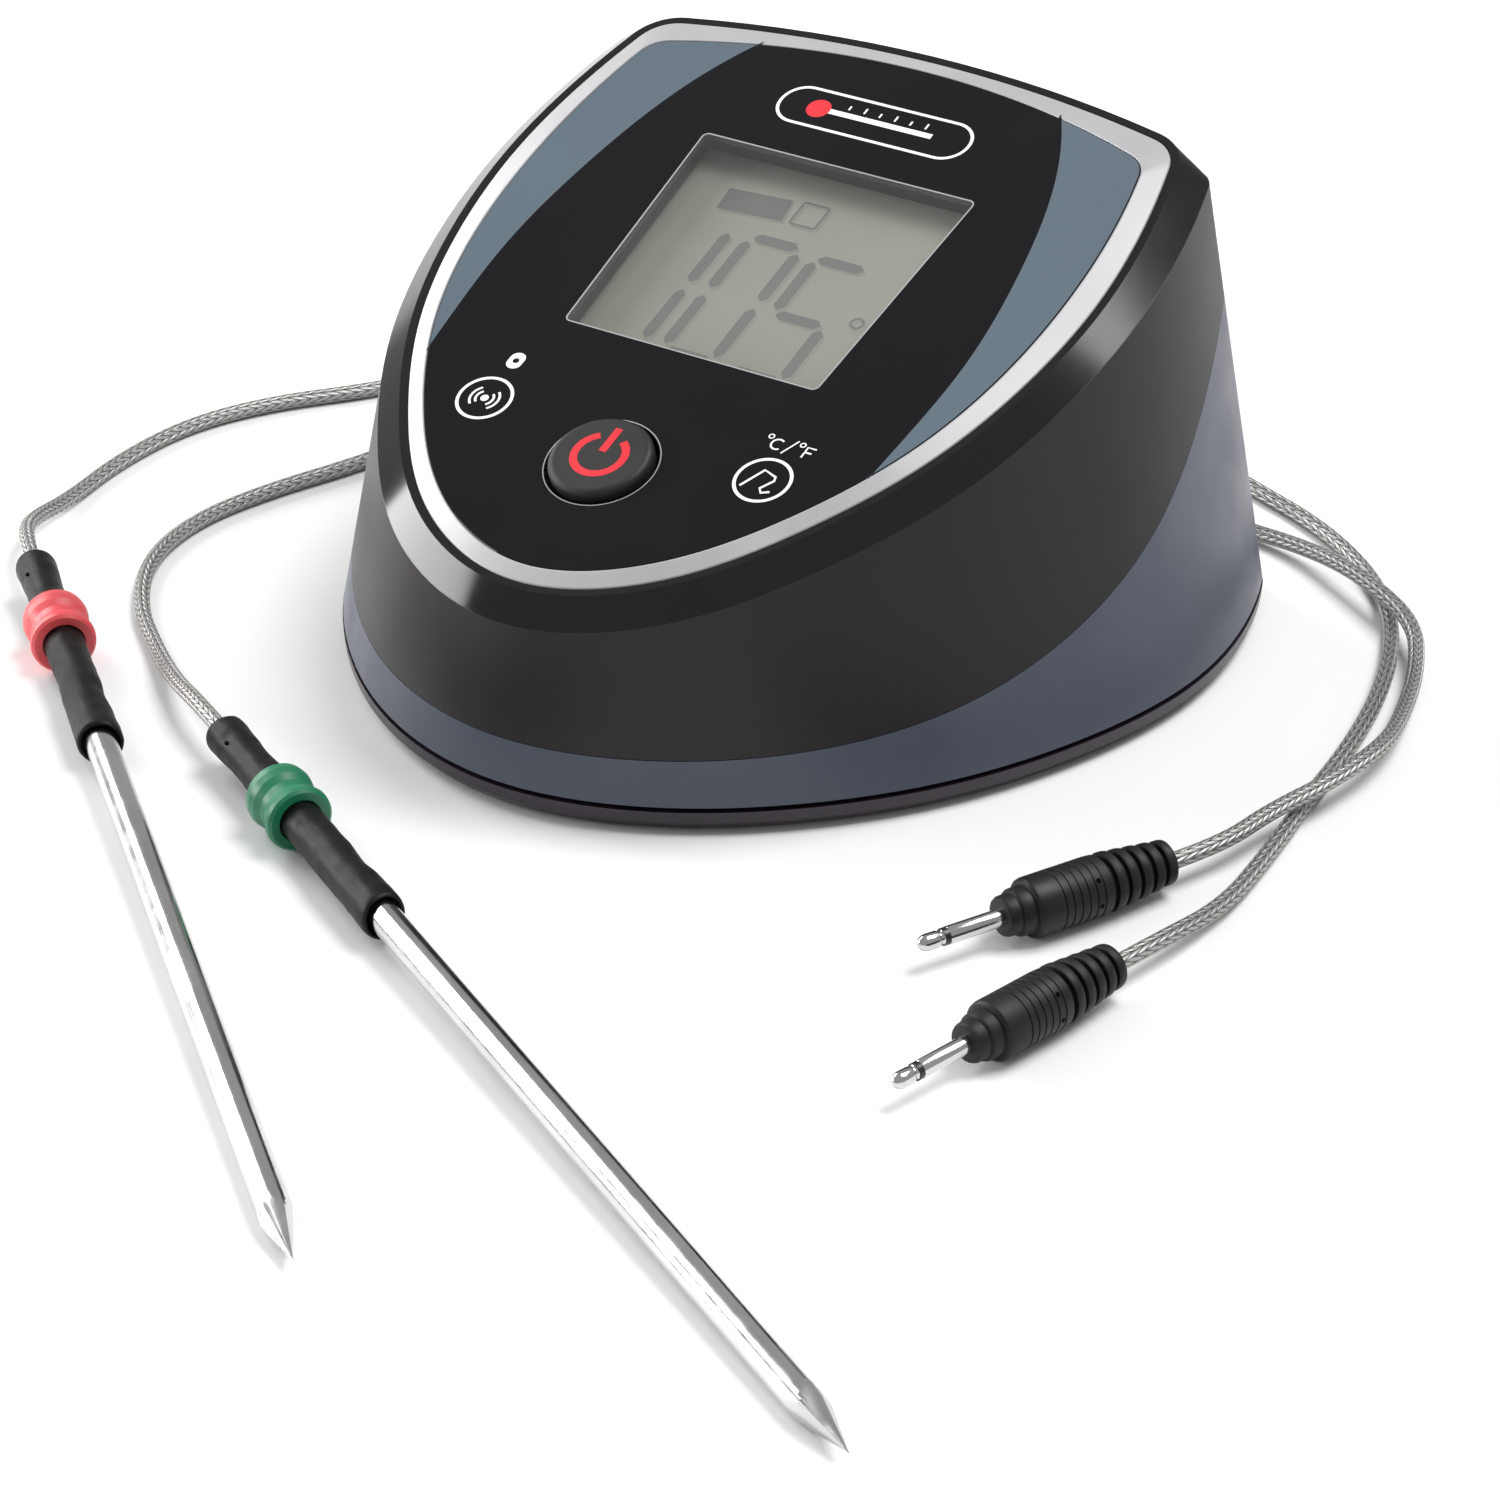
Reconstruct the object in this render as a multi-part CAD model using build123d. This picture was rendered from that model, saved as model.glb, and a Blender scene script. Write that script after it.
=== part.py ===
"""Meat thermometer: a shield-shaped table-top housing with a tilted display face, and two steel probes on
braided cables that end in 2.5 mm plugs.

Millimetres, +Z up, the front of the housing faces -Y. The origin is on the surface that the housing
stands on, under the centre of the display.
"""

import math
import os

from build123d import *

os.makedirs("parts", exist_ok=True)

# ---- housing: driving dimensions ------------------------------------------------------------------
FACE_SLOPE = 20.4  # degrees, the face rises towards the back
FACE_HEIGHT = 56.66  # the face plane above the origin
WALL = 2.2
BASE_TOP = 3.6  # top of the base plate's edge
COVER_BOTTOM = 4.3  # the dark gap under the covers ends here
LIP_GROW, LIP_DROP = 1.3, 0.4  # the covers' lip around the face
SHOULDER_DROP = 3.55  # lower edge of the bevel around the lip
LENS_THICK = 2.0
DECK_TOP, DECK_BOTTOM = 2.05, 3.6  # the shelf under the lens, below the face
WINDOW = (45.8, 42.0, 41.1)  # display window: width at the top, width at the bottom, height
BOARD_TOP, BOARD_BOTTOM = 11.0, 12.6  # main board, below the face

# half outlines, from the nose to the sharp rear corner
FACE_SIDE = [(0, -66.4), (20.5, -58.3), (33, -44), (42.3, -27.4), (47.8, -8.2), (49.3, 8), (48.3, 22), (44.2, 40.9)]
FACE_REAR, FACE_CORNER = 46.0, 6.5
SHOULDER_SIDE = [(0, -71.6), (23.8, -62.3), (37.3, -46.9), (47.1, -29.4), (52.9, -9), (54.5, 8), (53.7, 22), (50, 40.2)]
SHOULDER_REAR = 47.0
BASE_SIDE = [(0, -67.3), (21, -62), (38, -50), (51.5, -34), (61.5, -13), (66.2, 10), (64.0, 30), (57.0, 48.5)]
BASE_REAR, BASE_CORNER = 54.0, 12.0
SPLIT = [(-90, 11.0), (-66, 11.2), (-48, 11.7), (-22, 16.3), (6, 27.4), (36, 47.6), (62, 67)]  # (y, z)
SPLIT_GAP = 0.12

# ---- button, pads ---------------------------------------------------------------------------------
BUTTON_V, BUTTON_R, BUTTON_PROUD, BUTTON_TRAVEL = -43.4, 7.5, 2.0, 0.5
PAD_U, PAD_V = 23.0, -38.9

# ---- rear bay, battery door, sockets --------------------------------------------------------------
BAY_X, BAY_LOW, BAY_HIGH = 34.4, 7.5, 51.5
BAY_WALL = 1.5
BOSS_R = 3.8
BAY_FLOOR, BAY_BACK = 45.5, 43.5  # y of the bay's floor plate
DOOR_X, DOOR_LOW, DOOR_HIGH = 27.0, 11.1, 40.6
HINGE_Y, HINGE_Z, HINGE_R = 44.5, 12.2, 1.0
PEG_R, PEG_CLEARANCE = 0.7, 0.06
SOCKET_X, SOCKET_Z, SOCKET_BORE, SOCKET_DEPTH = 12.0, 46.5, 1.27, 12.0
CELL_R, CELL_LENGTH, CELL_Y, CELL_ZS = 7.1, 49.0, 34.8, (18.9, 33.4)

# ---- probes, cables, plugs ------------------------------------------------------------------------
NEEDLE_R, NEEDLE_VISIBLE, TIP_LENGTH, NEEDLE_SOCKETED = 2.25, 125.0, 11.0, 12.0
HANDLE_R, HANDLE_LENGTH = 3.1, 54.0
RING_R, RING_CLEARANCE = 4.8, 0.05
CABLE_D = 2.4
LIE = CABLE_D / 2  # height of a cable's centreline where it lies on the surface
HUMP = 4.3  # and where it passes over the other cable
EXIT_RUN = 9.0  # a cable leaves its handle and its plug straight for this far
COIL_R, COIL_BAND, COIL_LOW, COIL_TALL = 14.0, 10.0, 0.8, 5.0
TIE_THICK, TIE_WIDTH = 0.8, 5.0
JACK_R, JACK_LENGTH, BOOT_R, BOOT_LENGTH = 1.25, 13.0, 4.2, 27.0
CABLE_SINK = 0.3  # a cable enters its boot this far below the boot's axis


def save(name, shape):
    export_step(shape, f"parts/{name}.step")


def unit(x, y):
    size = math.hypot(x, y)
    return x / size, y / size


# ---- frames and outlines --------------------------------------------------------------------------
SIN, COS = math.sin(math.radians(FACE_SLOPE)), math.cos(math.radians(FACE_SLOPE))


def face(depth=0.0):
    """The face plane, moved down into the housing by depth."""
    return Plane(origin=(0, depth * SIN, FACE_HEIGHT - depth * COS), x_dir=(1, 0, 0), z_dir=(0, -SIN, COS))


def on_face(u, v, depth):
    return face(depth).from_local_coords((u, v, 0))


def floor(height):
    return Plane(origin=(0, 0, height), x_dir=(1, 0, 0), z_dir=(0, 0, 1))


def outward(tangent):
    return Vector(tangent.Y, -tangent.X)


def grown(half, rear, grow):
    """The outline's points moved outward: left corner, round the nose, right corner."""
    points = [Vector(-x, y) for x, y in reversed(half[1:])] + [Vector(*p) for p in half]
    side, back = Spline(*points), ThreePointArc(points[-1], (0, rear), points[0])
    moved = []
    for point in points[1:-1]:
        moved.append(point + outward(side % side.param_at_point(point)) * grow)
    normal, rear_normal = outward(side % 1), outward(back % 0)
    corner = points[-1] + (normal + rear_normal) * (grow / (1 + normal.dot(rear_normal)))
    return [Vector(-corner.X, corner.Y)] + moved + [corner]


def shield(half, rear, corner_radius, grow=0.0):
    """A shield outline: one curve round the nose, a gently bowed rear edge, rounded rear corners."""
    points = grown(half, rear, grow)
    outline = make_face(Spline(*points) + ThreePointArc(points[-1], (0, rear + grow), points[0]))
    return fillet(outline.vertices(), corner_radius)


def face_outline(grow=0.0, corner=FACE_CORNER):
    return shield(FACE_SIDE, FACE_REAR, corner, grow)


def shoulder_outline(grow=0.0, corner=3.5):
    return shield(SHOULDER_SIDE, SHOULDER_REAR, corner, grow)


def base_outline(grow=0.0):
    return shield(BASE_SIDE, BASE_REAR, BASE_CORNER, grow)


def slab(outline, top, bottom):
    """An outline of the face, as a plate between two depths below the face."""
    return extrude(face(bottom) * outline, amount=bottom - top)


def post(u, v, radius, top, bottom):
    return slab(Pos(u, v) * Circle(radius), top, bottom)


def box(x, y, z):
    """A box from (low, high) pairs."""
    size = [high - low for low, high in (x, y, z)]
    return Pos(*[(low + high) / 2 for low, high in (x, y, z)]) * Box(*size)


def rod(start, end, radius):
    start, end = Vector(*start), Vector(*end)
    along = end - start
    return extrude(Plane(origin=start, z_dir=along) * Circle(radius), amount=along.length)


# ---- covers ---------------------------------------------------------------------------------------
def hull():
    """The covers' outer shape: base outline, shoulder, lip."""
    shoulder = face(SHOULDER_DROP) * shoulder_outline()
    lip = face(LIP_DROP) * face_outline(LIP_GROW, FACE_CORNER + LIP_GROW)
    return loft([floor(BASE_TOP) * base_outline(), shoulder], ruled=True) + loft([shoulder, lip], ruled=True)


def cavity():
    roof = face(DECK_BOTTOM) * shoulder_outline(-WALL, 2.5)
    return loft([floor(BASE_TOP) * base_outline(-WALL), roof], ruled=True)


def above_split(gap):
    """Everything above the curved parting line, which starts low at the nose and climbs to the back."""
    line = [(y, z + gap) for y, z in SPLIT]
    last, first = line[-1], line[0]
    edge = Spline(*line) + Polyline(last, (last[0], 130), (first[0], 130), first)
    return extrude(Plane.YZ * make_face(edge), amount=90, both=True)


def window(grow):
    top, bottom, height = (size / 2 + grow for size in WINDOW)
    corners = [(-bottom, -height), (bottom, -height), (top, height), (-top, height)]
    return fillet(make_face(Polyline(*corners, close=True)).vertices(), 0.8)


BOARD_POSTS = [(34, 30), (-34, 30), (33, -25), (-33, -25)]


def front_cover(shell):
    """The gloss top cover: lip and bevel around the face, a deck under the lens, posts for the board."""
    cover = shell & above_split(SPLIT_GAP / 2)
    cover -= slab(face_outline(0.1), -5, DECK_TOP)
    cover -= slab(window(1.0), 0, 5)
    cover -= post(0, BUTTON_V, BUTTON_R + 0.8, 0, 5)
    for side in (-1, 1):
        cover -= post(side * PAD_U, PAD_V, 5.0, 0, 5)
    for u, v in BOARD_POSTS:
        cover += post(u, v, 3.0, DECK_BOTTOM - 0.3, BOARD_TOP)
        cover -= post(u, v, 1.1, DECK_BOTTOM + 1.5, BOARD_TOP + 1)
    return cover


# four bosses just inside the wall, beside the outline's third and sixth points
BASE_BOSSES = [(p.X, p.Y) for p in grown(BASE_SIDE, BASE_REAR, -5.4) if 30 < abs(p.X) < 40 or p.Y > 0 and p.Y < 20]


def bay(wall, low_y, high_y):
    x = BAY_X + wall
    return box((-x, x), (low_y, high_y), (BAY_LOW - wall, BAY_HIGH + wall))


def rear_cover(shell, outer):
    """The satin lower and rear cover: screw bosses, and a bay at the back for the door and sockets."""
    cover = shell + (outer & bay(BAY_WALL, BAY_BACK, 60))
    for x, y in BASE_BOSSES:
        cover += outer & Pos(x, y, 8) * Cylinder(BOSS_R, 14)
    cover &= box((-90, 90), (-90, 90), (COVER_BOTTOM, 130))
    cover -= above_split(-SPLIT_GAP / 2)
    cover -= bay(0, BAY_FLOOR, 70)
    sill = HINGE_Z - HINGE_R - 0.25
    cover -= box((-DOOR_X - 0.4, DOOR_X + 0.4), (BAY_BACK - 1, 60), (sill, DOOR_HIGH + 0.4))
    peg = DOOR_X + 1.6
    cover -= rod((-peg, HINGE_Y, HINGE_Z), (peg, HINGE_Y, HINGE_Z), PEG_R + PEG_CLEARANCE)
    for side in (-1, 1):
        cover -= rod((side * SOCKET_X, 40, SOCKET_Z), (side * SOCKET_X, 60, SOCKET_Z), 3.05)
        x = side * (SOCKET_X + 9)
        cover += rod((x, 33.0, SOCKET_Z), (x, BAY_BACK + 0.3, SOCKET_Z), 2.4)
        cover -= rod((x, 32.0, SOCKET_Z), (x, BAY_BACK - 1.5, SOCKET_Z), 0.9)
    for x, y in BASE_BOSSES:
        cover -= Pos(x, y, 7) * Cylinder(1.3, 8)
    return cover


def base_plate():
    """The bottom closure: soft lower edge, a locating rim inside the covers, a recess for the mat."""
    plate = loft([floor(0.6) * base_outline(-1.3), floor(1.9) * base_outline(-0.1)], ruled=True)
    plate += loft([floor(1.9) * base_outline(-0.1), floor(BASE_TOP) * base_outline()], ruled=True)
    rim = extrude(floor(BASE_TOP - 0.1) * base_outline(-WALL - 0.7), amount=1.2)
    rim -= extrude(floor(BASE_TOP) * base_outline(-WALL - 2.0), amount=3)
    for x, y in BASE_BOSSES:
        rim -= Pos(x, y, BASE_TOP + 5) * Cylinder(BOSS_R + 0.3, 10)
    plate += rim
    plate -= extrude(floor(0) * base_outline(-9.0), amount=1.0)
    for x, y in BASE_BOSSES:
        plate -= Pos(x, y, 3) * Cylinder(1.6, 8)
        plate -= Pos(x, y, 0) * Cylinder(3.1, 4.4)
    return plate


def screw(length, radius, head_radius, head_height):
    """A pan head screw with a cross recess, head down at z = 0, shank up."""
    body = Cylinder(head_radius, head_height, align=(Align.CENTER, Align.CENTER, Align.MIN))
    body = fillet(body.edges().sort_by(Axis.Z)[0], head_height * 0.45)
    body += Pos(0, 0, head_height) * Cylinder(radius, length, align=(Align.CENTER, Align.CENTER, Align.MIN))
    slot = Box(head_radius * 1.1, 0.5, head_height * 0.9)
    return body - slot - Rot(0, 0, 90) * slot


# ---- face -----------------------------------------------------------------------------------------
def trim_inner(grow=0.0):
    """The inner edge of the silver border: 2.3 wide at the nose, 3.7 wide towards the rear corners."""
    inner = [(0, -63.9), (18.6, -56.4), (30.9, -42.7), (39.7, -26.7), (44.5, -8.4), (45.6, 8), (44.7, 22), (42, 36)]
    return shield(inner, 43.1, 5.0, grow)


def lens():
    plate = slab(trim_inner(-0.05), 0, LENS_THICK)
    plate -= post(0, BUTTON_V, BUTTON_R + 0.45, -1, 5)
    return plate


def main_button():
    """Rubber key: a round cap through the lens, a flange under the deck, a stem to the switch."""
    cap = post(0, BUTTON_V, BUTTON_R, -BUTTON_PROUD, 4.0)
    cap = fillet(cap.edges().sort_by(Axis((0, 0, 0), face().z_dir))[-1], 1.0)
    return cap + post(0, BUTTON_V, 9.3, 3.8, 4.6) + post(0, BUTTON_V, 2.2, 4.5, 7.4)


def lcd_frame():
    outer = RectangleRounded(57, 54, 1.0)
    return slab(outer, 3.75, 10.95) - slab(Rectangle(52.6, 50.6), 3, 12)


def main_board():
    half = [(38, 36), (38, -22), (20, -55)]
    outline = make_face(Polyline(*half, *[(-u, v) for u, v in reversed(half)], close=True))
    board = slab(fillet(outline.vertices(), 3.0), BOARD_TOP, BOARD_BOTTOM)
    for u, v in BOARD_POSTS:
        board -= post(u, v, 1.6, 9, 14)
    return board


# ---- battery bay ----------------------------------------------------------------------------------
def battery_tray():
    """An open trough for the two cells, with a notch in each end wall for a lead."""
    tray = box((-30, 30), (25.6, 43.3), (10.4, 41.9)) - box((-28.6, 28.6), (27.0, 50), (11.6, 40.7))
    return tray - box((-31, 31), (33.6, 36), (24.6, 27.7))


def battery_cell(z, flip):
    """A dry cell lying along X, its raised contact at the +X end, or at -X when flipped."""
    body = fillet(Cylinder(CELL_R, CELL_LENGTH).edges(), 0.6)
    nub = Pos(0, 0, CELL_LENGTH / 2 + 0.6) * Cylinder(2.6, 1.4)
    return Pos(-flip * 0.9, CELL_Y, z) * Rot(0, 90 * flip, 0) * (body + nub)


def battery_door():
    """A flat cover that turns on two pegs at its lower edge; a finger catch at its top edge."""
    door = box((-DOOR_X, DOOR_X), (BAY_BACK + 0.1, BAY_FLOOR), (HINGE_Z, DOOR_HIGH))
    door += rod((-DOOR_X, HINGE_Y, HINGE_Z), (DOOR_X, HINGE_Y, HINGE_Z), HINGE_R)
    peg = DOOR_X + 1.4
    door += rod((-peg, HINGE_Y, HINGE_Z), (peg, HINGE_Y, HINGE_Z), PEG_R)
    door += box((-7, 7), (BAY_FLOOR - 0.1, BAY_FLOOR + 1.6), (DOOR_HIGH - 3.2, DOOR_HIGH - 1.6))
    for x in (-17, -8.5, 0, 8.5, 17):
        door += box((x - 0.6, x + 0.6), (BAY_BACK - 0.6, BAY_BACK + 0.2), (HINGE_Z + 6, DOOR_HIGH - 4))
    return door


def jack_socket(x):
    body = box((x - 4.5, x + 4.5), (33.1, BAY_BACK - 0.1), (SOCKET_Z - 4, SOCKET_Z + 4))
    body += rod((x, BAY_BACK - 0.2, SOCKET_Z), (x, BAY_FLOOR, SOCKET_Z), 3.0)
    mouth = BAY_FLOOR - SOCKET_DEPTH
    return body - rod((x, mouth, SOCKET_Z), (x, BAY_FLOOR + 1, SOCKET_Z), SOCKET_BORE)


# ---- probes ---------------------------------------------------------------------------------------
def lathe(profile):
    """Turns a profile of (distance along the axis, radius) points about the X axis."""
    first, last = profile[0], profile[-1]
    outline = Polyline((first[0], 0), *profile, (last[0], 0), close=True)
    return revolve(make_face(outline), Axis.X, 360)


def needle():
    end = NEEDLE_VISIBLE + NEEDLE_SOCKETED
    body = lathe([(0, 0.2), (TIP_LENGTH, NEEDLE_R), (end, NEEDLE_R)])
    return body - lathe([(TIP_LENGTH + 3, 1.6), (end + 1, 1.6)])


def thermistor():
    bead = lathe([(TIP_LENGTH + 3.2, 0.6), (TIP_LENGTH + 4, 1.3), (TIP_LENGTH + 8, 1.3), (TIP_LENGTH + 9, 0.7)])
    for side in (-1, 1):
        start = (TIP_LENGTH + 7, side * 0.6, 0)
        bead += rod(start, (NEEDLE_VISIBLE + NEEDLE_SOCKETED, side * 0.6, 0), 0.3)
    return bead


def ferrule():
    start = NEEDLE_VISIBLE + NEEDLE_SOCKETED
    return lathe([(start, 2.6), (start + 35, 2.6), (start + 35.5, 2.3)])


def handle():
    """Shrink sleeve: flared where it ends on the needle, straight under the ring, rounded at the cable."""
    start, end = NEEDLE_VISIBLE, NEEDLE_VISIBLE + HANDLE_LENGTH
    profile = [(start, 2.9), (start + 0.5, 3.3), (start + 3, 3.35), (start + 8, HANDLE_R)]
    body = lathe(profile + [(end - 1.2, HANDLE_R), (end - 0.3, 2.9), (end, 2.6)])
    body -= lathe([(start - 1, NEEDLE_R + 0.02), (start + 4, NEEDLE_R + 0.02)])
    return body - lathe([(start + 3.9, 2.62), (end - 5, 2.62)])


def id_ring(ring_at):
    """Silicone ring: a thin flared rim on the needle's side, a waist, a broad round bulge."""
    rim = [(-4.5, 4.3), (-4.1, 4.7), (-3.4, RING_R), (-2.6, 4.5), (-1.2, 3.95), (0, 4.1)]
    bulge = [(1.2, 4.6), (2.4, RING_R), (3.6, 4.65), (4.3, 4.2), (4.5, 3.8)]
    bore = HANDLE_R + RING_CLEARANCE
    return Pos(ring_at, 0, 0) * (lathe(rim + bulge) - lathe([(-6, bore), (6, bore)]))


def plug_boot():
    """Moulded boot, from the cable end to the plug: chunky ribs, fine grooves, collar."""
    profile = [(0, 2.0), (0.4, 2.5)]
    for rib in range(5):
        start, radius = 0.6 + 2.15 * rib, 3.1 + 0.22 * rib
        profile += [(start, radius - 0.5), (start + 0.2, radius), (start + 1.5, radius), (start + 1.7, radius - 0.6)]
    profile += [(11.3, 3.9), (12.0, 4.1), (14.0, BOOT_R), (22.6, BOOT_R), (23.4, 4.0), (24.4, 3.9), (24.6, 3.3)]
    return lathe(profile + [(BOOT_LENGTH - 0.3, 3.1), (BOOT_LENGTH, 2.8)])


SLEEVE_END, RING_END = BOOT_LENGTH + 8.4, BOOT_LENGTH + 9.2


def plug_tip():
    end = BOOT_LENGTH + JACK_LENGTH
    profile = [(RING_END, JACK_R), (end - 2.6, JACK_R), (end - 2.0, 0.8), (end - 1.3, 1.15), (end - 0.6, 1.0)]
    return lathe(profile + [(end, 0.35)])


# ---- cables ---------------------------------------------------------------------------------------
def tube(name, route):
    """A cable along straight runs joined by arcs as large as the runs allow."""
    points = [Vector(*p) for p in route]
    runs = [b - a for a, b in zip(points, points[1:])]
    radii = []
    for before, after in zip(runs, runs[1:]):
        turn = math.radians(before.get_angle(after))
        radii.append(0.45 * min(before.length, after.length) / math.tan(turn / 2))
    path = FilletPolyline(*points, radius=radii)
    start = Plane(origin=points[0], z_dir=runs[0])
    body = sweep(start * Circle(CABLE_D / 2), path=path)
    expected = path.length * math.pi * (CABLE_D / 2) ** 2
    print(f"{name}: length {path.length:.1f}, tightest arc {min(radii):.1f}, volume / expected"
          f" {body.volume / expected:.4f}")
    return body


def coil(x, y):
    ring = Pos(COIL_R, 0) * RectangleRounded(COIL_BAND, COIL_TALL, 2.0)
    return Pos(x, y, COIL_LOW + COIL_TALL / 2) * revolve(Plane.XZ * ring, Axis.Z, 360)


def coil_tie(x, y, angle):
    """A strap round the coil's bundle, with a flat buckle on top."""
    inner_width, inner_tall = COIL_BAND + 1.0, COIL_TALL
    outer = RectangleRounded(inner_width + 2 * TIE_THICK, inner_tall + 2 * TIE_THICK, 1.2)
    band = extrude(Plane.XZ * (outer - Rectangle(inner_width, inner_tall)), amount=TIE_WIDTH / 2, both=True)
    buckle = Pos(0, 0, inner_tall / 2 + TIE_THICK + 0.5) * Box(5, TIE_WIDTH + 2, 1.4)
    return Pos(x, y, COIL_LOW + inner_tall / 2) * Rot(0, 0, angle) * Pos(COIL_R, 0, 0) * (band + buckle)


RED_COIL, GREEN_COIL = (-62.0, 82.0), (-20.0, 74.5)
RED_TO_COIL = [(-105.4, -41.6, 3.6), (-108.0, -30.0, LIE), (-110.2, -15.0, LIE), (-109.2, 1.0, LIE),
               (-103.0, 14.5, LIE), (-93.0, 26.5, LIE), (-84.0, 41.0, LIE), (-77.5, 59.0, 1.6), (-76.0, 80.0, 2.6)]
RED_TO_PLUG = [(-62.0, 96.0, 2.6), (-40.0, 98.0, 1.8), (-18.0, 98.5, LIE), (3.0, 93.0, LIE), (21.0, 82.5, LIE),
               (39.4, 74.6, LIE), (57.0, 67.6, LIE), (71.5, 56.8, LIE), (81.2, 43.5, LIE), (87.2, 28.0, LIE),
               (91.0, 11.0, LIE), (93.0, -6.0, LIE), (95.4, -22.0, LIE), (97.2, -37.5, 1.6)]
GREEN_TO_COIL = [(-55.0, -68.6, 3.6), (-66.0, -59.6, LIE), (-77.0, -50.5, LIE), (-85.4, -38.0, LIE),
                 (-87.6, -24.0, LIE), (-84.4, -10.0, LIE), (-78.4, 5.0, LIE), (-74.2, 21.0, LIE),
                 (-70.0, 38.0, LIE), (-58.5, 53.0, LIE), (-40.0, 59.4, 1.8), (-20.0, 60.5, 2.6)]
GREEN_TO_PLUG = [(-20.0, 60.5, 2.6), (0.0, 62.0, 2.0), (22.0, 63.0, LIE), (45.0, 61.0, LIE), (58.0, 58.6, 2.4),
                 (70.0, 52.5, HUMP), (84.2, 43.6, HUMP), (89.6, 34.0, 1.9), (93.4, 22.0, 1.7), (97.2, 9.0, HUMP),
                 (95.8, -4.0, HUMP), (92.6, -16.0, HUMP)]
PLUGS = {"red": ((93.9, -61.8), unit(-0.223, -0.975)), "green": ((87.2, -35.2), unit(-0.417, -0.909))}
# tip, direction to the handle, distance from the tip to the ring
PROBES = {"red": ((44.2, -169.2), unit(-122.4, 102.3), 158.8), "green": ((118.6, -163.9), unit(-137.0, 74.6), 156.8)}


def probe_place(colour):
    """The probe's own frame, X from its tip to the handle; the needle and the ring rest on the surface."""
    (tip_x, tip_y), (dx, dy), ring_at = PROBES[colour]
    rise = (RING_R - NEEDLE_R) / (ring_at - TIP_LENGTH)
    flat = math.sqrt(1 - rise**2)
    axis = Vector(dx * flat, dy * flat, rise)
    origin = (tip_x, tip_y, NEEDLE_R - TIP_LENGTH * rise)
    return Plane(origin=origin, x_dir=axis, z_dir=(-dx * rise, -dy * rise, flat)), axis


def build_set(colour, coil_at, tie_angle, to_coil, to_plug):
    """One probe with its cable, coil and plug."""
    place, axis = probe_place(colour)
    pieces = {"needle": needle(), "thermistor": thermistor(), "ferrule": ferrule(), "handle": handle()}
    pieces["id_ring"] = id_ring(PROBES[colour][2])
    for name, piece in pieces.items():
        save(f"{colour}_{name}", place * piece)
    rear = place.from_local_coords((NEEDLE_VISIBLE + HANDLE_LENGTH, 0, 0))
    print(f"{colour} handle end {rear}, axis {axis}")

    (rear_x, rear_y), (px, py) = PLUGS[colour]
    plug = Plane(origin=(rear_x, rear_y, BOOT_R), x_dir=(px, py, 0), z_dir=(0, 0, 1))
    save(f"{colour}_plug_boot", plug * plug_boot())
    save(f"{colour}_plug_sleeve", plug * lathe([(BOOT_LENGTH, JACK_R), (SLEEVE_END, JACK_R)]))
    save(f"{colour}_plug_insulator", plug * lathe([(SLEEVE_END, JACK_R), (RING_END, JACK_R)]))
    save(f"{colour}_plug_tip", plug * plug_tip())

    start = [tuple(rear), tuple(rear + axis * EXIT_RUN)]
    save(f"{colour}_cable_to_coil", tube(f"{colour} cable to coil", start + to_coil))
    exit_height = BOOT_R - CABLE_SINK
    end = [(rear_x - px * EXIT_RUN, rear_y - py * EXIT_RUN, exit_height), (rear_x, rear_y, exit_height)]
    save(f"{colour}_cable_to_plug", tube(f"{colour} cable to plug", to_plug + end))
    print(f"{colour} plug exit {end}")
    save(f"{colour}_cable_coil", coil(*coil_at))
    save(f"{colour}_coil_tie", coil_tie(*coil_at, tie_angle))


# ---- build ----------------------------------------------------------------------------------------
outer = hull()
shell = outer - cavity()
save("front_cover", front_cover(shell))
save("rear_cover", rear_cover(shell, outer))
save("base_plate", base_plate())
save("base_mat", extrude(floor(0) * base_outline(-9.2), amount=1.0))
save("base_screws", Compound(children=[Pos(x, y, 0.75) * screw(7.5, 1.3, 2.7, 1.45) for x, y in BASE_BOSSES]))

save("silver_trim", slab(face_outline(), 0, LENS_THICK) - slab(trim_inner(), -1, 5))
save("face_lens", lens())
save("main_button", main_button())
save("switch_plunger", post(0, BUTTON_V, 1.7, 7.4, 9.9))
switch = slab(Pos(0, BUTTON_V) * Rectangle(6, 6), 8.0, BOARD_TOP) - post(0, BUTTON_V, 1.76, 7, 10.6)
save("button_switch", switch)
save("lcd_glass", slab(Rectangle(52, 50), 3.75, 6.5))
save("lcd_backlight", slab(Rectangle(52, 42), 6.55, 9.6))
save("lcd_frame", lcd_frame())
strips = [slab(Pos(0, side * 23.2) * Rectangle(50, 2), 6.5, BOARD_TOP) for side in (-1, 1)]
save("lcd_zebra_strips", Compound(children=strips))
pads = [post(side * PAD_U, PAD_V, 4.2, LENS_THICK, BOARD_TOP) for side in (-1, 1)]
save("touch_pads", Compound(children=pads))

save("main_board", main_board())
place = face(BOARD_BOTTOM + 1.3)
screws = [place * Pos(u, v) * screw(5.0, 1.1, 2.2, 1.3) for u, v in BOARD_POSTS]
save("board_screws", Compound(children=screws))
save("controller_chip", slab(Pos(-6, -8) * Rectangle(10, 10), BOARD_BOTTOM, BOARD_BOTTOM + 1.4))
save("radio_module", slab(Pos(-20, 22) * Rectangle(18, 13), BOARD_BOTTOM, BOARD_BOTTOM + 2.4))
buzzer = post(20, -8, 6.0, BOARD_BOTTOM, BOARD_BOTTOM + 6.0) - post(20, -8, 1.0, BOARD_BOTTOM + 4, BOARD_BOTTOM + 8)
save("buzzer", buzzer)

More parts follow.
